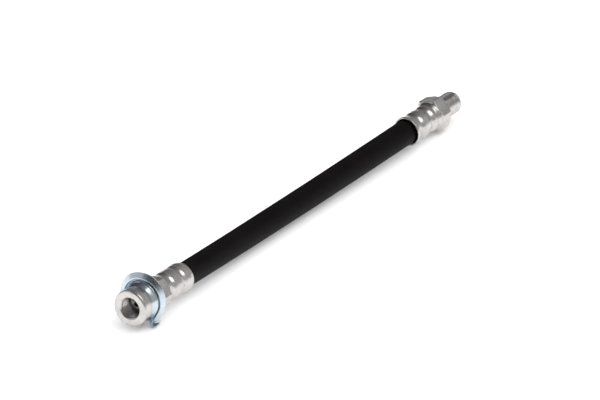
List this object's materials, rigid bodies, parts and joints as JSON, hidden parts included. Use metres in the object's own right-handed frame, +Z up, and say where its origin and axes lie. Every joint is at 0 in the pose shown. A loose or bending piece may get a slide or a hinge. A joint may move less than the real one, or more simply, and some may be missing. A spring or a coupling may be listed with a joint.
{
  "type": "brake hose",
  "caption": "Short ribbed rubber brake hose with a crimped female port fitting and its bracket clip at one end and a crimped male fitting at the other",
  "frame": {"origin": "on the floor under the middle of the box around the two fittings and the clip", "axes": "+X along the hose from the female end to the male end, +Z up, floor at Z = 0"},
  "size_m": [0.2344, 0.0224, 0.0226],
  "materials": {
    "zinc_plate": "satin zinc plate",
    "blue_zinc": "bright blue zinc plate",
    "insert_steel": "satin",
    "cover_rubber": "satin black rubber",
    "liner_rubber": "matte black rubber",
    "cushion_rubber": "matte black rubber",
    "braid_yarn": "braided yarn"
  },
  "bodies": {
    "root": {"female_fitting": "zinc_plate", "male_fitting": "zinc_plate", "retaining_clip": "blue_zinc", "female_insert": "insert_steel", "male_insert": "insert_steel", "hose_cover": "cover_rubber", "outer_braid": "braid_yarn", "cushion_layer": "cushion_rubber", "inner_braid": "braid_yarn", "hose_liner": "liner_rubber"}
  },
  "joints": []
}
